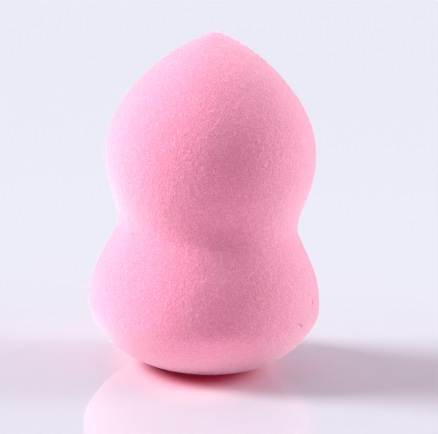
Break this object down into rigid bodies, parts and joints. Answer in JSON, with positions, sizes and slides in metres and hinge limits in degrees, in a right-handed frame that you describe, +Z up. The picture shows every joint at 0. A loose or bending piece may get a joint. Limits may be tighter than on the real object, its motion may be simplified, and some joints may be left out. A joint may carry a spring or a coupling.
{
  "type": "makeup sponge",
  "caption": "Gourd-shaped foam makeup sponge with a round lower lobe, a drawn-in waist and a pointed top; its soft zones squeeze, bend and twist.",
  "frame": {"origin": "middle of the small flat that the sponge stands on", "axes": "+Z up along the sponge's axis, from the flat to the point; X and Y are alike, as the form is turned"},
  "size_m": [0.041, 0.041, 0.06],
  "materials": {
    "pink_foam": "matte fine-celled foam"
  },
  "bodies": {
    "base": {"base_sole": "pink_foam", "base_cushion": "pink_foam"},
    "lower_lobe": {"lower_lobe": "pink_foam", "lower_waist": "pink_foam"},
    "waist_grip_lower": {"waist_grip_lower": "pink_foam"},
    "waist_grip_upper": {"waist_grip_upper": "pink_foam", "upper_waist": "pink_foam"},
    "upper_lobe": {"upper_lobe": "pink_foam", "tip_neck": "pink_foam"},
    "pointed_tip": {"pointed_tip": "pink_foam"}
  },
  "joints": [
    {"name": "base_squeeze", "type": "slide", "parent": "base", "child": "lower_lobe", "axis": [0, 0, -1], "range_m": [0, 0.004], "stiffness_N_per_m": 1000, "deforming": ["base_cushion"]},
    {"name": "waist_lean", "type": "hinge", "parent": "lower_lobe", "child": "waist_grip_lower", "pos_m": [0, 0, 0.01988], "axis": [1, 0, 0], "range_deg": [-20, 20], "stiffness_Nm_per_rad": 0.08, "deforming": ["lower_waist"]},
    {"name": "waist_twist", "type": "hinge", "parent": "waist_grip_lower", "child": "waist_grip_upper", "pos_m": [0, 0, 0.0257], "axis": [0, 0, 1], "range_deg": [-40, 40], "stiffness_Nm_per_rad": 0.06},
    {"name": "waist_sway", "type": "hinge", "parent": "waist_grip_upper", "child": "upper_lobe", "pos_m": [0, 0, 0.03154], "axis": [0, 1, 0], "range_deg": [-20, 20], "stiffness_Nm_per_rad": 0.08, "deforming": ["upper_waist"]},
    {"name": "tip_press", "type": "slide", "parent": "upper_lobe", "child": "pointed_tip", "axis": [0, 0, -1], "range_m": [0, 0.004], "stiffness_N_per_m": 300, "deforming": ["tip_neck"]}
  ]
}
